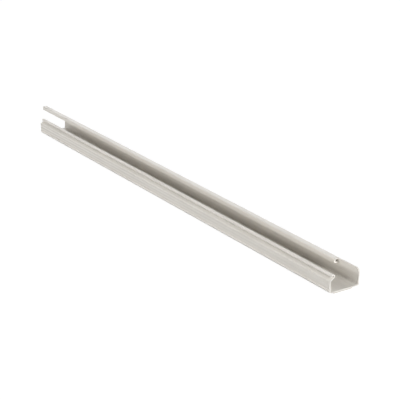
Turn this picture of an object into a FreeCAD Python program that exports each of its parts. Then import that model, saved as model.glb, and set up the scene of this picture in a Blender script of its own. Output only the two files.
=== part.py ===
"""PVC cable raceway base: one thin-walled extrusion on a strip of adhesive foam tape.

Frame: +X along the extrusion, towards the end where the tall wall's lip is sawn back; +Y from the
short wall to the tall wall; +Z up. The origin is the bottom centre of the whole. Millimetres.
"""
import FreeCAD, Part
import os
from math import atan2
import Sketcher

# Driving dimensions. Places in the section are measured across from the foot of the short
# wall's outer face, and up from the extrusion's underside.
SIZES = {
    "overall_length": 1003.0,    # tongue included
    "tongue_length": 83.0,       # the lip alone, standing out past the floor
    "lip_setback": 47.5,         # how far the lip stops short of the +X end
    "channel_width": 55.0,       # outer face to outer face at the underside
    "wall_thick": 2.0,
    "floor_thick": 1.5,
    "lip_thick": 1.8,
    "wall_lean": 2.6,            # degrees, both walls outwards
    "foot_across": 1.8,          # where the short wall's foot starts to round up
    "foot_low": 3.0,
    "foot_high": 5.0,
    "foot_end": 6.8,
    "foot_proud": 1.05,
    "line_up": 12.6,             # shallow line along the short wall's outer face
    "line_width": 0.9,
    "line_depth": 0.22,
    "kink_up": 20.0,             # where the short wall turns inwards
    "kink_drop": 1.1,            # inner corner below the outer one
    "web_angle": 33.0,           # degrees, slope of the web that carries the hook
    "hook_across": 5.8,          # centre of the hook's curl
    "hook_up": 25.9,
    "hook_radius": 2.4,          # to the middle of its thickness
    "hook_tip_angle": 168.0,     # degrees round from level
    "tall_height": 27.3,
    "lip_front": 46.7,
    "lip_height": 7.4,
    "lip_return": 5.9,           # length of the turned-back foot of the lip
    "stub_at_lip": 3.7,          # width of flange left on the tall wall beside the lip's cut
    "stub_at_end": 2.6,          # and at the +X end
    "cut_clearance": 5.0,        # how far the cutting outlines overrun the section
    "tall_corner_round": 8.0,
    "kink_round": 2.4,
    "lip_round": 1.9,
    "inner_round": 1.0,
    "edge_round": 0.4,
    "tape_width": 35.0,
    "tape_thick": 1.5,
    "tape_across": 7.5,
}

doc = FreeCAD.newDocument("raceway")
sheet = doc.addObject("Spreadsheet::Sheet", "sizes")
for row, (alias, size) in enumerate(SIZES.items(), start=1):
    sheet.set(f"A{row}", alias)
    sheet.set(f"B{row}", str(size))
    sheet.setAlias(f"B{row}", alias)
doc.recompute()


def value(expression):
    """The number that an expression on the sizes sheet gives."""
    result = sheet.evalExpression(expression)
    return float(getattr(result, "Value", result))


def outline_sketch(body, name, role, corners, arcs=(), offset=None):
    """A closed sketch on the body's origin plane of that role.

    corners maps a corner's name to its two places as expressions, in order round the outline. The
    edges are straight, except that arcs maps the corner an arc starts from to its centre, its
    radius and its turn, which is 1 when it runs anticlockwise and -1 when it runs clockwise.
    offset is the sketch's distance from the plane.
    """
    sketch = body.newObject("Sketcher::SketchObject", name)
    plane = next(item for item in body.Origin.OriginFeatures if item.Role == role)
    sketch.AttachmentSupport = [(plane, "")]
    sketch.MapMode = "FlatFace"
    if offset:
        sketch.setExpression("AttachmentOffset.Base.z", offset)

    names = list(corners)
    places = {key: FreeCAD.Vector(value(u), value(v), 0) for key, (u, v) in corners.items()}
    ends = []
    for edge, (start, end) in enumerate(zip(names, names[1:] + names[:1])):
        ends.append((1, 2))
        if start not in arcs:
            sketch.addGeometry(Part.LineSegment(places[start], places[end]), False)
            continue
        (across, up), radius, turn = arcs[start]
        centre = FreeCAD.Vector(value(across), value(up), 0)
        circle = Part.Circle(centre, FreeCAD.Vector(0, 0, 1), value(radius))
        angles = [atan2(places[key].y - centre.y, places[key].x - centre.x) for key in (start, end)]
        sketch.addGeometry(Part.ArcOfCircle(circle, *angles[::turn]), False)
        ends[edge] = (1, 2)[::turn]
    for edge, key in enumerate(names):
        following = (edge + 1) % len(names)
        sketch.addConstraint(
            Sketcher.Constraint("Coincident", edge, ends[edge][1], following, ends[following][0]))
        for kind, expression, distance in zip(("DistanceX", "DistanceY"), corners[key], places[key]):
            index = sketch.addConstraint(
                Sketcher.Constraint(kind, -1, 1, edge, ends[edge][0], distance))
            sketch.setExpression(f"Constraints[{index}]", expression)
        if key in arcs:
            radius = arcs[key][1]
            index = sketch.addConstraint(Sketcher.Constraint("Radius", edge, value(radius)))
            sketch.setExpression(f"Constraints[{index}]", radius)
    doc.recompute()
    return sketch


def fillet(body, name, radius, chosen, count):
    """A fillet of one radius on the edges of the body's present shape that chosen(edge) picks."""
    support = body.Tip
    edges = [f"Edge{number}" for number, edge in enumerate(support.Shape.Edges, start=1) if chosen(edge)]
    assert len(edges) == count, (name, edges)
    feature = body.newObject("PartDesign::Fillet", name)
    feature.Base = (support, edges)
    feature.setExpression("Radius", radius)
    doc.recompute()


def lengthwise_through(*corners):
    """Picks the edges along X that pass through the section's named corners."""
    wanted = [FreeCAD.Vector(0, value(SECTION[key][0]), value(SECTION[key][1])) for key in corners]

    def chosen(edge):
        start, end = (vertex.Point for vertex in (edge.Vertexes[0], edge.Vertexes[-1]))
        start.x, span = 0.0, abs(end.x - start.x)
        return span > 1.0 and any(start.distanceToPoint(place) < 1e-4 for place in wanted)
    return chosen


def pocket(body, name, sketch, length):
    """Cuts the sketch's outline out of the body, against the sketch plane's normal."""
    before = body.Tip.Shape.Volume
    feature = body.newObject("PartDesign::Pocket", name)
    feature.Profile = sketch
    feature.setExpression("Length", length)
    doc.recompute()
    assert feature.Shape.Volume < before, name


# The section, corner by corner from the short wall's foot, up its outer face, round the hook,
# down inside, across the floor, up inside the tall wall and round its lip.
INNER_CURL = "(sizes.hook_radius - sizes.lip_thick / 2)"
OUTER_CURL = "(sizes.hook_radius + sizes.lip_thick / 2)"
HOOK_CENTRE = ("sizes.hook_across", "sizes.hook_up")
LIP_LOW = "sizes.tall_height - sizes.lip_height"
TALL_INNER = "sizes.channel_width - sizes.wall_thick"


def short_face(up, depth="0"):
    """A corner at that height on the short wall's leaning outer face, or depth inside it."""
    return (f"{depth} - ({up}) * tan(sizes.wall_lean)", up)


def tall_face(up, depth="0"):
    """A corner at that height on the tall wall's leaning outer face, or depth inside it."""
    return (f"sizes.channel_width - {depth} + ({up}) * tan(sizes.wall_lean)", up)


def on_hook(radius, angle):
    """A corner on the hook's curl, at an angle measured anticlockwise from level."""
    return (f"sizes.hook_across + {radius} * cos({angle})", f"sizes.hook_up + {radius} * sin({angle})")


SECTION = {
    "foot_under": ("sizes.foot_across", "0"),
    "foot_low": ("-sizes.foot_proud", "sizes.foot_low"),
    "foot_high": ("-sizes.foot_proud", "sizes.foot_high"),
    "foot_end": short_face("sizes.foot_end"),
    "line_low": short_face("sizes.line_up - sizes.line_width / 2"),
    "line_floor": short_face("sizes.line_up", "sizes.line_depth"),
    "line_high": short_face("sizes.line_up + sizes.line_width / 2"),
    "kink_outer": short_face("sizes.kink_up"),
    "groove": on_hook(INNER_CURL, "sizes.web_angle - 90"),
    "tip_inner": on_hook(INNER_CURL, "sizes.hook_tip_angle"),
    "tip_outer": on_hook(OUTER_CURL, "sizes.hook_tip_angle"),
    "web_inner": on_hook(OUTER_CURL, "sizes.web_angle - 90"),
    "kink_inner": short_face("sizes.kink_up - sizes.kink_drop", "sizes.wall_thick"),
    "short_floor": short_face("sizes.floor_thick", "sizes.wall_thick"),
    "tall_floor": tall_face("sizes.floor_thick", "sizes.wall_thick"),
    "tall_inner": tall_face("sizes.tall_height - sizes.lip_thick", "sizes.wall_thick"),
    "lip_inner_high": ("sizes.lip_front + sizes.lip_thick", "sizes.tall_height - sizes.lip_thick"),
    "lip_inner_low": ("sizes.lip_front + sizes.lip_thick", LIP_LOW + " + sizes.lip_thick"),
    "return_high": ("sizes.lip_front + sizes.lip_return", LIP_LOW + " + sizes.lip_thick"),
    "return_low": ("sizes.lip_front + sizes.lip_return", LIP_LOW),
    "front_low": ("sizes.lip_front", LIP_LOW),
    "front_high": ("sizes.lip_front", "sizes.tall_height"),
    "tall_top": tall_face("sizes.tall_height"),
    "tall_low": ("sizes.channel_width", "0"),
}
CURLS = {
    "groove": (HOOK_CENTRE, INNER_CURL, 1),
    "tip_outer": (HOOK_CENTRE, OUTER_CURL, -1),
}

# The extrusion, at full length, with its bends rounded as the die leaves them.
base = doc.addObject("PartDesign::Body", "raceway_base")
base.Label = "raceway_base"
section = outline_sketch(base, "section", "YZ_Plane", SECTION, CURLS)
extrusion = base.newObject("PartDesign::Pad", "extrusion")
extrusion.Profile = section
extrusion.Midplane = True
extrusion.setExpression("Length", "sizes.overall_length")
doc.recompute()

fillet(base, "kink_bends", "sizes.kink_round",
       lengthwise_through("foot_under", "foot_low", "kink_outer"), 3)
fillet(base, "lip_bends", "sizes.lip_round", lengthwise_through("front_high", "front_low"), 2)
fillet(base, "inner_bends", "sizes.inner_round",
       lengthwise_through("kink_inner", "short_floor", "tall_floor", "tall_inner", "foot_end",
                          "tall_top", "tall_low"), 7)
fillet(base, "soft_edges", "sizes.edge_round",
       lengthwise_through("foot_high", "tip_inner", "tip_outer", "return_high", "return_low"), 5)

# The +X end: the lip is sawn off the tall wall, which keeps a narrowing stub of the flange, and
# the wall's top corner is cut round.
at_end = "sizes.overall_length / 2"
at_lip = at_end + " - sizes.lip_setback"
over_end = at_end + " + sizes.cut_clearance"
before_lip = "sizes.lip_front - sizes.cut_clearance"
tall_top_face = SECTION["tall_top"][0]
setback = outline_sketch(base, "setback_outline", "XY_Plane", {
    "lip_front": (at_lip, before_lip),
    "end_front": (over_end, before_lip),
    "end_stub": (over_end, tall_top_face + " - sizes.stub_at_end"),
    "lip_stub": (at_lip, tall_top_face + " - sizes.stub_at_lip"),
}, offset="sizes.tall_height + sizes.cut_clearance")
pocket(base, "lip_setback_cut", setback, "sizes.lip_height + 2 * sizes.cut_clearance")
corner_low = "sizes.tall_height - sizes.tall_corner_round"
corner_back = at_end + " - sizes.tall_corner_round"
over_tall = "sizes.tall_height + sizes.cut_clearance"
corner = outline_sketch(base, "tall_corner_outline", "XZ_Plane", {
    "round_low": (at_end, corner_low),
    "round_high": (corner_back, "sizes.tall_height"),
    "over_back": (corner_back, over_tall),
    "over_end": (over_end, over_tall),
    "end_low": (over_end, corner_low),
}, {"round_low": ((corner_back, corner_low), "sizes.tall_corner_round", 1)}, offset=f"-({before_lip})")
pocket(base, "tall_corner_cut", corner, "sizes.channel_width")

# The other end: all but the lip is sawn away, which leaves the lip standing out as a tongue.
under_all = "-sizes.cut_clearance"
over_top = "sizes.hook_up + sizes.hook_radius + sizes.cut_clearance"
over_side = "sizes.channel_width + sizes.cut_clearance"
relief = outline_sketch(base, "relief_outline", "YZ_Plane", {
    "under_short": (under_all, under_all),
    "under_tall": (over_side, under_all),
    "lip_back": (over_side, LIP_LOW),
    "lip_low": (before_lip, LIP_LOW),
    "lip_top": (before_lip, over_top),
    "over_short": (under_all, over_top),
}, offset="sizes.tongue_length - sizes.overall_length / 2")
pocket(base, "tongue_relief_cut", relief, "sizes.tongue_length")

# The foam tape runs under the floor, off its middle, as long as the floor is.
tape = doc.addObject("PartDesign::Body", "adhesive_tape")
tape.Label = "adhesive_tape"
tape_end = "sizes.tape_across + sizes.tape_width"
tape_section = outline_sketch(tape, "tape_section", "YZ_Plane", {
    "low": ("sizes.tape_across", "-sizes.tape_thick"),
    "low_end": (tape_end, "-sizes.tape_thick"),
    "high_end": (tape_end, "0"),
    "high": ("sizes.tape_across", "0"),
}, offset="sizes.tongue_length - sizes.overall_length / 2")
strip = tape.newObject("PartDesign::Pad", "strip")
strip.Profile = tape_section
strip.setExpression("Length", "sizes.overall_length - sizes.tongue_length")

# Both bodies shift together, so that the origin is the bottom centre of the whole.
for body in (base, tape):
    body.setExpression("Placement.Base.y", f"(sizes.foot_proud - ({tall_top_face})) / 2")
    body.setExpression("Placement.Base.z", "sizes.tape_thick")
doc.recompute()

for item in doc.Objects:
    assert not {"Invalid", "Error"} & set(item.State), (item.Name, item.State)

os.makedirs("parts", exist_ok=True)
for body in (base, tape):
    shape = body.Shape
    assert not shape.isNull() and shape.isValid() and len(shape.Solids) == 1, body.Label
    shape.exportStep(f"parts/{body.Label}.step")
    box = shape.BoundBox
    print(f"{body.Label}: x {box.XMin:.2f} {box.XMax:.2f}, y {box.YMin:.2f} {box.YMax:.2f}, "
          f"z {box.ZMin:.2f} {box.ZMax:.2f} mm, {shape.Volume / 1000:.1f} cm3")
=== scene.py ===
import math
import bmesh
import bpy
import numpy as np
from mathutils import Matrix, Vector


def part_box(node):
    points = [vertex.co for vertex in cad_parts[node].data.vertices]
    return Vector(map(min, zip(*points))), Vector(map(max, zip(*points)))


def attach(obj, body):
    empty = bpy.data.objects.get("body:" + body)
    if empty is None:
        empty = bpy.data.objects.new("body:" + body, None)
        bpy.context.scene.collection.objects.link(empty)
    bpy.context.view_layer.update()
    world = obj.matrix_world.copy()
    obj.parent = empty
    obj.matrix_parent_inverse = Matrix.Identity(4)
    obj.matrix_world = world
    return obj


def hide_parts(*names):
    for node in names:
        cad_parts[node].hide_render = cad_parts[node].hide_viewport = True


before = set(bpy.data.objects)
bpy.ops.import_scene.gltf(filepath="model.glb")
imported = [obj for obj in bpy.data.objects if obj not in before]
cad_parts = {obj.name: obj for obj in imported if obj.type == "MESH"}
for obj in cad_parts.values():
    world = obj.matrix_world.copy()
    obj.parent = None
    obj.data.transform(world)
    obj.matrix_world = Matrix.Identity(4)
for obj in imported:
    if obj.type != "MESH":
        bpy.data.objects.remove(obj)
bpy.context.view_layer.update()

# ---- Camera and studio -----------------------------------------------------------------------
# A plain pale floor under broad soft light, in a white room. The camera stands above the
# sawn-back end of the raceway and looks down along it. All in metres.
FOCAL_LENGTH, SENSOR_WIDTH, FARTHEST = 113.4, 36, 60
AIM, DISTANCE = (0.1068, 0.0084, 0.015), 2.149
AZIMUTH, ELEVATION = math.radians(56.47), math.radians(20.77)
LAMPS_AIM, FLOOR_REACH = (0.1, 0.0, 0.0), 9
scene = bpy.context.scene
scene.view_settings.view_transform = "Standard"


def linear(code):
    """An sRGB hex colour as linear red, green, blue and alpha, by the two-part sRGB curve."""
    levels = np.array([int(code[i:i + 2], 16) for i in (1, 3, 5)]) / 255
    return (*np.where(levels <= 0.04045, levels / 12.92, ((levels + 0.055) / 1.055) ** 2.4), 1.0)


def add(tree, kind, settings=(), **inputs):
    """A new node, with its settings, and its inputs given values or linked from other outputs.

    An input is called by its name, with _ for a space, or as in0, in1 and so on by its place.
    """
    node = tree.nodes.new(kind)
    for name, setting in dict(settings).items():
        setattr(node, name, setting)
    for name, given in inputs.items():
        by_place = name.startswith("in") and name[2:].isdigit()
        key = int(name[2:]) if by_place else name.replace("_", " ")
        if isinstance(given, bpy.types.NodeSocket):
            tree.links.new(given, node.inputs[key])
        else:
            node.inputs[key].default_value = given
    return node


def point_at(thing, place, target):
    """Puts a camera or lamp at a place and turns its -Z axis to the target."""
    thing.location = place
    thing.rotation_euler = (Vector(target) - Vector(place)).to_track_quat("-Z", "Y").to_euler()


def looked_at(tree):
    """One where a ray comes from the camera, a gloss or a clear surface, and zero elsewhere."""
    path = add(tree, "ShaderNodeLightPath")
    seen = add(tree, "ShaderNodeMath", {"operation": "MAXIMUM"},
               in0=path.outputs["Is Camera Ray"], in1=path.outputs["Is Glossy Ray"])
    return add(tree, "ShaderNodeMath", {"operation": "MAXIMUM"},
               in0=seen.outputs[0], in1=path.outputs["Is Transmission Ray"]).outputs[0]


camera_data = bpy.data.cameras.new("studio_camera")
camera_data.sensor_width = SENSOR_WIDTH
camera_data.lens = FOCAL_LENGTH
camera_data.clip_end = FARTHEST
camera = bpy.data.objects.new("studio_camera", camera_data)
scene.collection.objects.link(camera)
back = Vector((math.sin(AZIMUTH) * math.cos(ELEVATION), -math.cos(AZIMUTH) * math.cos(ELEVATION),
               math.sin(ELEVATION)))
point_at(camera, Vector(AIM) + DISTANCE * back, AIM)
scene.camera = camera

# Two long strips in front light the short wall and the lip and leave the channel dim. A lamp at
# the sawn-back end lights the cut faces. Those behind and at the side give the plastic its sheen.
for name, place, width, height, power in (
    ("low_front_softbox", (0.0, -3.9, 0.94), 6.0, 0.25, 49),
    ("high_front_softbox", (0.0, -3.72, 1.47), 6.0, 0.8, 50),
    ("end_softbox", (4.2, 0.2, 2.0), 1.6, 1.2, 145),
    ("rear_softbox", (-2.6, 1.9, 1.3), 2.4, 1.4, 18),
    ("side_softbox", (-3.8, -1.8, 1.5), 1.6, 0.6, 8),
):
    lamp_data = bpy.data.lights.new(name, "AREA")
    lamp_data.shape, lamp_data.energy = "RECTANGLE", power
    lamp_data.size, lamp_data.size_y = width, height
    lamp = bpy.data.objects.new(name, lamp_data)
    scene.collection.objects.link(lamp)
    point_at(lamp, place, LAMPS_AIM)

# The room is a ring of soft light round the horizon under a dim ceiling. It is plain white where
# it is looked at, straight or in a gloss.
# A Mix node's numbers are its inputs 2 and 3 and output 0, its colours inputs 6 and 7 and output 2.
room = bpy.data.worlds.new("white_room")
scene.world = room
room.use_nodes = True
tree = room.node_tree
tree.nodes.clear()
direction = add(tree, "ShaderNodeTexCoord").outputs["Generated"]
rise = add(tree, "ShaderNodeSeparateXYZ", Vector=direction)
ring = add(tree, "ShaderNodeMapRange", {"interpolation_type": "SMOOTHSTEP"},
           Value=rise.outputs["Z"], From_Min=0.25, From_Max=0.62, To_Min=0.55, To_Max=0.02)
strength = add(tree, "ShaderNodeMix", {"data_type": "FLOAT"}, Factor=looked_at(tree),
               in2=ring.outputs["Result"], in3=1.0)
sky = add(tree, "ShaderNodeBackground", Color=linear("#FFFFFF"), Strength=strength.outputs[0])
add(tree, "ShaderNodeOutputWorld", Surface=sky.outputs[0])

floor_mesh = bpy.data.meshes.new("studio_floor")
floor_mesh.from_pydata([(-FLOOR_REACH, -FLOOR_REACH, 0), (FLOOR_REACH, -FLOOR_REACH, 0),
                        (FLOOR_REACH, FLOOR_REACH, 0), (-FLOOR_REACH, FLOOR_REACH, 0)],
                       [], [(0, 1, 2, 3)])
studio_floor = bpy.data.objects.new("studio_floor", floor_mesh)
scene.collection.objects.link(studio_floor)

# White seamless paper: where it is looked at, part of its white is its own, so that the page
# round the object is white and the object's shadow stays on it as a faint one.
paper = bpy.data.materials.new("seamless_white_paper")
paper.use_nodes = True
tree = paper.node_tree
tree.nodes.clear()
lit = add(tree, "ShaderNodeBsdfDiffuse", Color=linear("#949494"))
faint = add(tree, "ShaderNodeBsdfDiffuse", Color=linear("#7C7C7C"))
own = add(tree, "ShaderNodeEmission", Color=linear("#FFFFFF"), Strength=0.92)
bright = add(tree, "ShaderNodeAddShader", in0=faint.outputs[0], in1=own.outputs[0])
surface = add(tree, "ShaderNodeMixShader",
              in0=looked_at(tree), in1=lit.outputs[0], in2=bright.outputs[0])
add(tree, "ShaderNodeOutputMaterial", Surface=surface.outputs[0])
floor_mesh.materials.append(paper)

# ---- Raceway base ----------------------------------------------------------------------------
# One length of rigid PVC, pushed through a die: a floor, a short wall that ends in a rolled hook
# for the cover, and a tall wall with a turned-down lip. Both ends are sawn after it has cooled.
MM = 0.001
node_low, node_high = (np.array(corner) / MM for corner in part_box("raceway_base"))
# Sizes in mm. A place in the section is how far across it is from the short wall's outer face at
# the bottom, and how far up from there. The walls lean outwards. FOOT is that corner in the frame.
BULGE = 1.05
FOOT = np.array([node_low[1] + BULGE, node_low[2]])
CHANNEL, WALL, FLOOR, LIP = 55.0, 2.0, 1.5, 1.8
LEAN = math.tan(math.radians(2.6))
TALL, LIP_FRONT, LIP_DROP, LIP_RETURN = 27.3, 46.7, 7.4, 5.9
HOOK, HOOK_RADIUS, WEB_ANGLE, TIP_ANGLE = np.array([5.8, 25.9]), 2.4, -57.0, 170.0
GROOVES_UP, GROOVE_HALF, GROOVE_DEPTH, GROOVE_ROOT = (6.4, 12.8, 18.0), 0.8, 0.45, 0.2
# The cuts: the tongue's length, the lip's setback and the tall wall's round corner. The saw keeps
# behind BEFORE_LIP, leaves the tall wall's top edge this thick at the end and at the lip, and runs
# PAST the end and CLEAR of the piece.
TONGUE, SETBACK, CORNER = 83.0, 47.5, 8.0
BEFORE_LIP, THICK_AT_END, THICK_AT_LIP, PAST, CLEAR = 41.7, 2.6, 3.7, 5.0, 60.0
ARC_POINTS, CURL_INSIDE, CURL_TIP, CURL_OUTSIDE, CORNER_POINTS = 7, 26, 12, 34, 19
SHARPEST_SMOOTH = math.radians(32)


def turn(centre, radius, start, end, count):
    """Points on a circle, as centre plus radius times cosine and sine, between two angles."""
    angles = np.radians(np.linspace(start, end, count))
    return centre + radius * np.stack([np.cos(angles), np.sin(angles)], axis=1)


def rounded(corners, radii):
    """A closed outline with each corner replaced by an arc that touches both its sides.

    An arc's ends lie the radius over the tangent of half the corner's angle away from the corner,
    and its points are the quadratic blend of end, corner and end that is scaled to the circle.
    """
    corners, radii = np.asarray(corners, float), np.asarray(radii, float)[:, None, None]
    before, after = np.roll(corners, 1, axis=0) - corners, np.roll(corners, -1, axis=0) - corners
    before /= np.linalg.norm(before, axis=1, keepdims=True)
    after /= np.linalg.norm(after, axis=1, keepdims=True)
    half = np.arccos(np.clip((before * after).sum(axis=1), -1, 1))[:, None, None] / 2
    reach = radii / np.tan(half)
    weight, step = np.sin(half), np.linspace(0, 1, ARC_POINTS)[None, :, None]
    start, end, middle = (1 - step) ** 2, step ** 2, 2 * step * (1 - step) * weight
    moved = reach * (start * before[:, None] + end * after[:, None]) / (start + end + middle)
    outline = (corners[:, None] + moved).reshape(-1, 2)
    return outline[np.linalg.norm(outline - np.roll(outline, 1, axis=0), axis=1) > 1e-5]


def short(up, depth=0.0):
    """A place on the short wall's outer face, or depth inside it."""
    return (depth - up * LEAN, up)


def tall(up, depth=0.0):
    """A place on the tall wall's outer face, or depth inside it."""
    return (CHANNEL - depth + up * LEAN, up)


def skin(name, rings):
    """A closed solid on a stack of rings of points, in mm, facing outwards.

    Four-sided faces join each ring to the next, and a flat face closes each end.
    """
    stations, count = rings.shape[:2]
    ring, spot = np.meshgrid(np.arange(stations - 1) * count, np.arange(count), indexing="ij")
    following = (spot + 1) % count
    sides = np.stack([ring + spot, ring + count + spot, ring + count + following,
                      ring + following], axis=2).reshape(-1, 4).tolist()
    last = stations * count - 1
    ends = [list(range(count)), list(range(last, last - count, -1))]
    mesh = bpy.data.meshes.new(name)
    mesh.from_pydata(rings.reshape(-1, 3) * MM, [], sides + ends)
    shape = bmesh.new()
    shape.from_mesh(mesh)
    bmesh.ops.remove_doubles(shape, verts=shape.verts, dist=1e-7)
    bmesh.ops.recalc_face_normals(shape, faces=shape.faces)
    shape.to_mesh(mesh)
    shape.free()
    piece = bpy.data.objects.new(name, mesh)
    scene.collection.objects.link(piece)
    return piece


def prism(name, outline, axis, low, high):
    """An outline, by its places on the other two axes, carried along an axis from low to high."""
    outline = np.asarray(outline, float)
    rings = np.insert(np.broadcast_to(outline, (2, *outline.shape)), axis, 0.0, axis=2)
    rings[:, :, axis] = [[low], [high]]
    return skin(name, rings)


def sawn(piece, *cuts):
    """Takes the cutting solids out of a piece, one after another, and throws them away."""
    for cut in cuts:
        saw = piece.modifiers.new(cut.name, "BOOLEAN")
        saw.operation, saw.solver, saw.object = "DIFFERENCE", "EXACT", cut
    finished = piece.evaluated_get(bpy.context.evaluated_depsgraph_get())
    result = bpy.data.meshes.new_from_object(finished)
    piece.modifiers.clear()
    piece.data = result
    for cut in cuts:
        bpy.data.objects.remove(cut)
    return piece


# The section, as corners with the radius of each, once round from under the foot.
outer_side = [((1.8, 0), 2.4), ((-BULGE, 3), 2.4), ((-BULGE, 5), 0.4)]
outer_side += [(short(up + side * GROOVE_HALF, depth), GROOVE_ROOT) for up in GROOVES_UP
               for side, depth in ((-1, 0.0), (0.2, GROOVE_DEPTH), (1, 0.0))]
outer_side += [(short(20.0), 1.2)]
tip_turn = math.radians(TIP_ANGLE)
tip = HOOK + HOOK_RADIUS * np.array([math.cos(tip_turn), math.sin(tip_turn)])
curl = np.concatenate([
    turn(HOOK, HOOK_RADIUS - LIP / 2, WEB_ANGLE, TIP_ANGLE, CURL_INSIDE),
    turn(tip, LIP / 2, TIP_ANGLE + 180, TIP_ANGLE, CURL_TIP)[1:-1],
    turn(HOOK, HOOK_RADIUS + LIP / 2, TIP_ANGLE, WEB_ANGLE, CURL_OUTSIDE),
])
inner_side = [(short(18.9, WALL), 1.0), (short(FLOOR, WALL), 1.0), (tall(FLOOR, WALL), 1.0),
              (tall(TALL - LIP, WALL), 1.0)]
lip = [((LIP_FRONT + LIP, TALL - LIP), 0.3), ((LIP_FRONT + LIP, TALL - LIP_DROP + LIP), 0.3),
       ((LIP_FRONT + LIP_RETURN, TALL - LIP_DROP + LIP), 0.5),
       ((LIP_FRONT + LIP_RETURN, TALL - LIP_DROP), 0.5),
       ((LIP_FRONT, TALL - LIP_DROP), 1.0), ((LIP_FRONT, TALL), 1.9)]
tall_back = [(tall(TALL), 1.0), (tall(0), 1.0)]
corners, radii = zip(*outer_side, *((place, 0.0) for place in curl), *inner_side, *lip, *tall_back)
section = rounded(corners, radii) + FOOT

low_x, high_x, across = node_low[0], node_high[0], FOOT[0]
lip_low, before_lip = FOOT[1] + TALL - LIP_DROP, across + BEFORE_LIP
tall_top = across + tall(TALL)[0]
corner_x, corner_z = high_x - CORNER, FOOT[1] + TALL - CORNER
raceway = sawn(
    prism("raceway_extrusion", section, 0, low_x, high_x),
    prism("tongue_relief",
          [(across - CLEAR, -CLEAR), (across + 2 * CLEAR, -CLEAR), (across + 2 * CLEAR, lip_low),
           (before_lip, lip_low), (before_lip, CLEAR), (across - CLEAR, CLEAR)],
          0, low_x - PAST, low_x + TONGUE),
    prism("lip_setback",
          [(high_x - SETBACK, before_lip), (high_x + PAST, before_lip),
           (high_x + PAST, tall_top - THICK_AT_END), (high_x - SETBACK, tall_top - THICK_AT_LIP)],
          2, lip_low - PAST, CLEAR),
    prism("tall_corner",
          np.concatenate([turn(np.array([corner_x, corner_z]), CORNER, 0, 90, CORNER_POINTS),
                          [(corner_x, CLEAR), (high_x + PAST, CLEAR), (high_x + PAST, corner_z)]]),
          1, before_lip, across + 2 * CLEAR),
)
raceway.data.name = "raceway_extrusion"
raceway.data.shade_smooth()
raceway.data.set_sharp_from_angle(angle=SHARPEST_SMOOTH)
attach(raceway, "root")
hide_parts("raceway_base")

# Rigid PVC, light warm grey, as it leaves the die: an even satin face with faint draw lines along
# it, a slow change of tone along the length, painted shading bands up the short wall's outer face,
# and matt, paler faces where the saw went through.
pvc = bpy.data.materials.new("extruded_satin_pvc")
pvc.use_nodes = True
tree = pvc.node_tree
tree.nodes.clear()
place = add(tree, "ShaderNodeTexCoord").outputs["Object"]
facing = add(tree, "ShaderNodeSeparateXYZ",
             Vector=add(tree, "ShaderNodeNewGeometry").outputs["Normal"])
end_on = add(tree, "ShaderNodeMath", {"operation": "ABSOLUTE"}, in0=facing.outputs["X"])
cut_face = add(tree, "ShaderNodeMapRange", From_Min=0.7, From_Max=0.9, Value=end_on.outputs[0])
# Draw lines along the extrusion, 3 mm apart where the real ones are closer, so that they show.
drawn = add(tree, "ShaderNodeMapping", Vector=place, Scale=(0.4, 330.0, 330.0))
lines = add(tree, "ShaderNodeTexNoise",
            Vector=drawn.outputs[0], Scale=1.0, Detail=2.0, Roughness=0.6)
# Slow tone change, about 120 mm along and 12 mm across.
slow = add(tree, "ShaderNodeMapping", Vector=place, Scale=(8.0, 80.0, 80.0))
tone = add(tree, "ShaderNodeTexNoise", Vector=slow.outputs[0], Scale=1.0, Detail=1.0)
# The die's own grain, 0.6 mm.
grain = add(tree, "ShaderNodeTexNoise", Vector=place, Scale=1600.0, Detail=2.0)
# Saw marks 1.2 mm apart, straight up the sawn faces.
saw_place = add(tree, "ShaderNodeMapping", Vector=place, Scale=(0.0, 800.0, 40.0))
saw_marks = add(tree, "ShaderNodeTexNoise", Vector=saw_place.outputs[0], Scale=1.0, Detail=2.0)
# Light and dark bands 5.6 mm apart up the short wall's outer face, painted shading that stands in
# for the shade of shallow grooves; they are plainest at the tongue's end and fade towards the
# other.
side = add(tree, "ShaderNodeSeparateXYZ", Vector=place)
outer_face = add(tree, "ShaderNodeMapRange",
                 Value=side.outputs["Y"], From_Min=-0.0268, From_Max=-0.0272)
fading = add(tree, "ShaderNodeMapRange", Value=side.outputs["X"], From_Min=-0.4, From_Max=0.45,
             To_Min=0.8, To_Max=0.15)
painted_shade_strength = add(tree, "ShaderNodeMath", {"operation": "MULTIPLY"},
               in0=outer_face.outputs["Result"], in1=fading.outputs["Result"])
bands = add(tree, "ShaderNodeTexWave", {"wave_type": "BANDS", "bands_direction": "Z"},
            Vector=place, Scale=56.1, Phase_Offset=3.03)
painted_shade_swing = add(tree, "ShaderNodeMath", {"operation": "SUBTRACT"}, in0=bands.outputs["Fac"], in1=0.5)

mixed = add(tree, "ShaderNodeMath", {"operation": "MULTIPLY_ADD"},
            in0=lines.outputs["Fac"], in1=0.5, in2=tone.outputs["Fac"])
streaks = add(tree, "ShaderNodeMapRange", From_Min=0.45, From_Max=1.05, Value=mixed.outputs[0],
              To_Min=0.32, To_Max=0.68)
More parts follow.
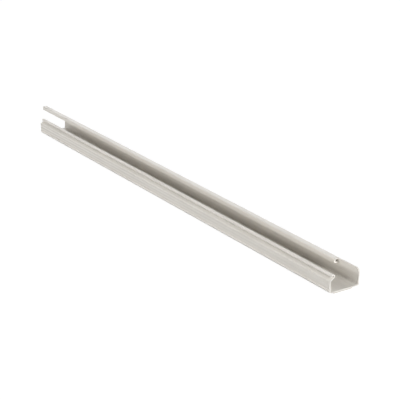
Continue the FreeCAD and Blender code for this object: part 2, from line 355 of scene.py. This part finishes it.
# The streaks' tone plus the painted shading bands on the short wall's outer face.
shade = add(tree, "ShaderNodeMath", {"operation": "MULTIPLY_ADD"},
            in0=painted_shade_swing.outputs[0], in1=painted_shade_strength.outputs[0], in2=streaks.outputs["Result"])
body_colour = add(tree, "ShaderNodeMix", {"data_type": "RGBA"}, Factor=shade.outputs[0],
                  in6=linear("#D6D1C8"), in7=linear("#F0ECE5"))
colour = add(tree, "ShaderNodeMix", {"data_type": "RGBA"}, Factor=cut_face.outputs["Result"],
             in6=body_colour.outputs[2], in7=linear("#EBE8E2"))
satin = add(tree, "ShaderNodeMapRange", Value=grain.outputs["Fac"], From_Min=0.3, From_Max=0.7,
            To_Min=0.3, To_Max=0.4)
rough = add(tree, "ShaderNodeMix", {"data_type": "FLOAT"}, Factor=cut_face.outputs["Result"],
            in2=satin.outputs["Result"], in3=0.7)
relief = add(tree, "ShaderNodeMix", {"data_type": "FLOAT"}, Factor=cut_face.outputs["Result"],
             in2=lines.outputs["Fac"], in3=saw_marks.outputs["Fac"])
bump = add(tree, "ShaderNodeBump", Height=relief.outputs[0], Strength=0.3, Distance=0.00006)
fine = add(tree, "ShaderNodeBump", Height=grain.outputs["Fac"], Strength=0.1, Distance=0.00001,
           Normal=bump.outputs[0])
plastic = add(tree, "ShaderNodeBsdfPrincipled", Base_Color=colour.outputs[2],
              Roughness=rough.outputs[0], IOR=1.54, Normal=fine.outputs[0])
add(tree, "ShaderNodeOutputMaterial", Surface=plastic.outputs[0])
raceway.data.materials.append(pvc)

# ---- Foam tape -------------------------------------------------------------------------------
# Double-sided mounting tape along the underside: closed-cell polyethylene foam, its paper liner
# still on the face that goes to the wall. It is cut to the floor's length with a knife.
tape_low, tape_high = (np.array(corner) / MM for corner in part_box("adhesive_tape"))
LINER, WANDER, HOLLOW, STEPS_ALONG, STEPS_UP = 0.12, 0.25, 0.12, 231, 6


def strip(name, low, high, wander, hollow):
    """A long flat bar whose sides wander in and out along it and are hollow at mid-height.

    A side lies inside its straight line by the wander times one half less a sum of two slow
    waves, plus the hollow times a half wave up its height; the ends are flat.
    """
    x, up = np.meshgrid(np.linspace(low[0], high[0], STEPS_ALONG), np.linspace(0, 1, STEPS_UP),
                        indexing="ij")
    wave = 0.5 - 0.3 * np.sin(x / 17.0) - 0.2 * np.sin(x / 6.3 + 1.0)
    other = 0.5 - 0.3 * np.sin(x / 14.0 + 2.0) - 0.2 * np.sin(x / 7.1)
    bow = hollow * np.sin(np.pi * up)
    left, right = low[1] + wander * wave + bow, high[1] - wander * other - bow
    z = low[2] + (high[2] - low[2]) * up
    rings = np.concatenate([np.stack([x, right, z], axis=2),
                            np.stack([x, left, z], axis=2)[:, ::-1]], axis=1)
    piece = skin(name, rings)
    piece.data.shade_smooth()
    piece.data.set_sharp_from_angle(angle=SHARPEST_SMOOTH)
    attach(piece, "root")
    return piece


foam = strip("foam_core", tape_low + [0, 0, LINER], tape_high, WANDER, HOLLOW)
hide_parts("adhesive_tape")
liner = strip("release_liner", tape_low, tape_high * [1, 1, 0] + [0, 0, LINER], 0.0, 0.0)

# White closed-cell polyethylene foam: matt, with its cells, drawn 0.9 mm wide where the real ones
# are half that, as small pits on the cut sides, each painted darker towards its bottom as shade.
foam_finish = bpy.data.materials.new("closed_cell_foam")
foam_finish.use_nodes = True
tree = foam_finish.node_tree
tree.nodes.clear()
place = add(tree, "ShaderNodeTexCoord").outputs["Object"]
cells = add(tree, "ShaderNodeTexVoronoi", Vector=place, Scale=1100.0)
pits = add(tree, "ShaderNodeMapRange",
           Value=cells.outputs["Distance"], From_Min=0.1, From_Max=0.6)
# Painted shade: darker where each pit is deepest.
colour = add(tree, "ShaderNodeMix", {"data_type": "RGBA"}, Factor=pits.outputs["Result"],
             in6=linear("#CFCAC1"), in7=linear("#DDD8CF"))
bump = add(tree, "ShaderNodeBump", Height=pits.outputs["Result"], Strength=0.5, Distance=0.0001)
soft = add(tree, "ShaderNodeBsdfPrincipled", Base_Color=colour.outputs[2], Roughness=0.85,
           IOR=1.5, Normal=bump.outputs[0])
add(tree, "ShaderNodeOutputMaterial", Surface=soft.outputs[0])
foam.data.materials.append(foam_finish)

# Siliconised glassine paper: smooth, with a light sheen and faint clouding from its fibres, in
# clouds about 4 mm across.
glassine_finish = bpy.data.materials.new("siliconised_glassine")
glassine_finish.use_nodes = True
tree = glassine_finish.node_tree
tree.nodes.clear()
place = add(tree, "ShaderNodeTexCoord").outputs["Object"]
clouds = add(tree, "ShaderNodeTexNoise", Vector=place, Scale=260.0, Detail=4.0, Roughness=0.65)
colour = add(tree, "ShaderNodeMix", {"data_type": "RGBA"}, Factor=clouds.outputs["Fac"],
             in6=linear("#DDD6C4"), in7=linear("#EEE9DC"))
sheen = add(tree, "ShaderNodeMapRange", Value=clouds.outputs["Fac"], To_Min=0.4, To_Max=0.52)
bump = add(tree, "ShaderNodeBump", Height=clouds.outputs["Fac"], Strength=0.2, Distance=0.00005)
glassine = add(tree, "ShaderNodeBsdfPrincipled", Base_Color=colour.outputs[2],
               Roughness=sheen.outputs["Result"], IOR=1.5, Normal=bump.outputs[0])
add(tree, "ShaderNodeOutputMaterial", Surface=glassine.outputs[0])
liner.data.materials.append(glassine_finish)
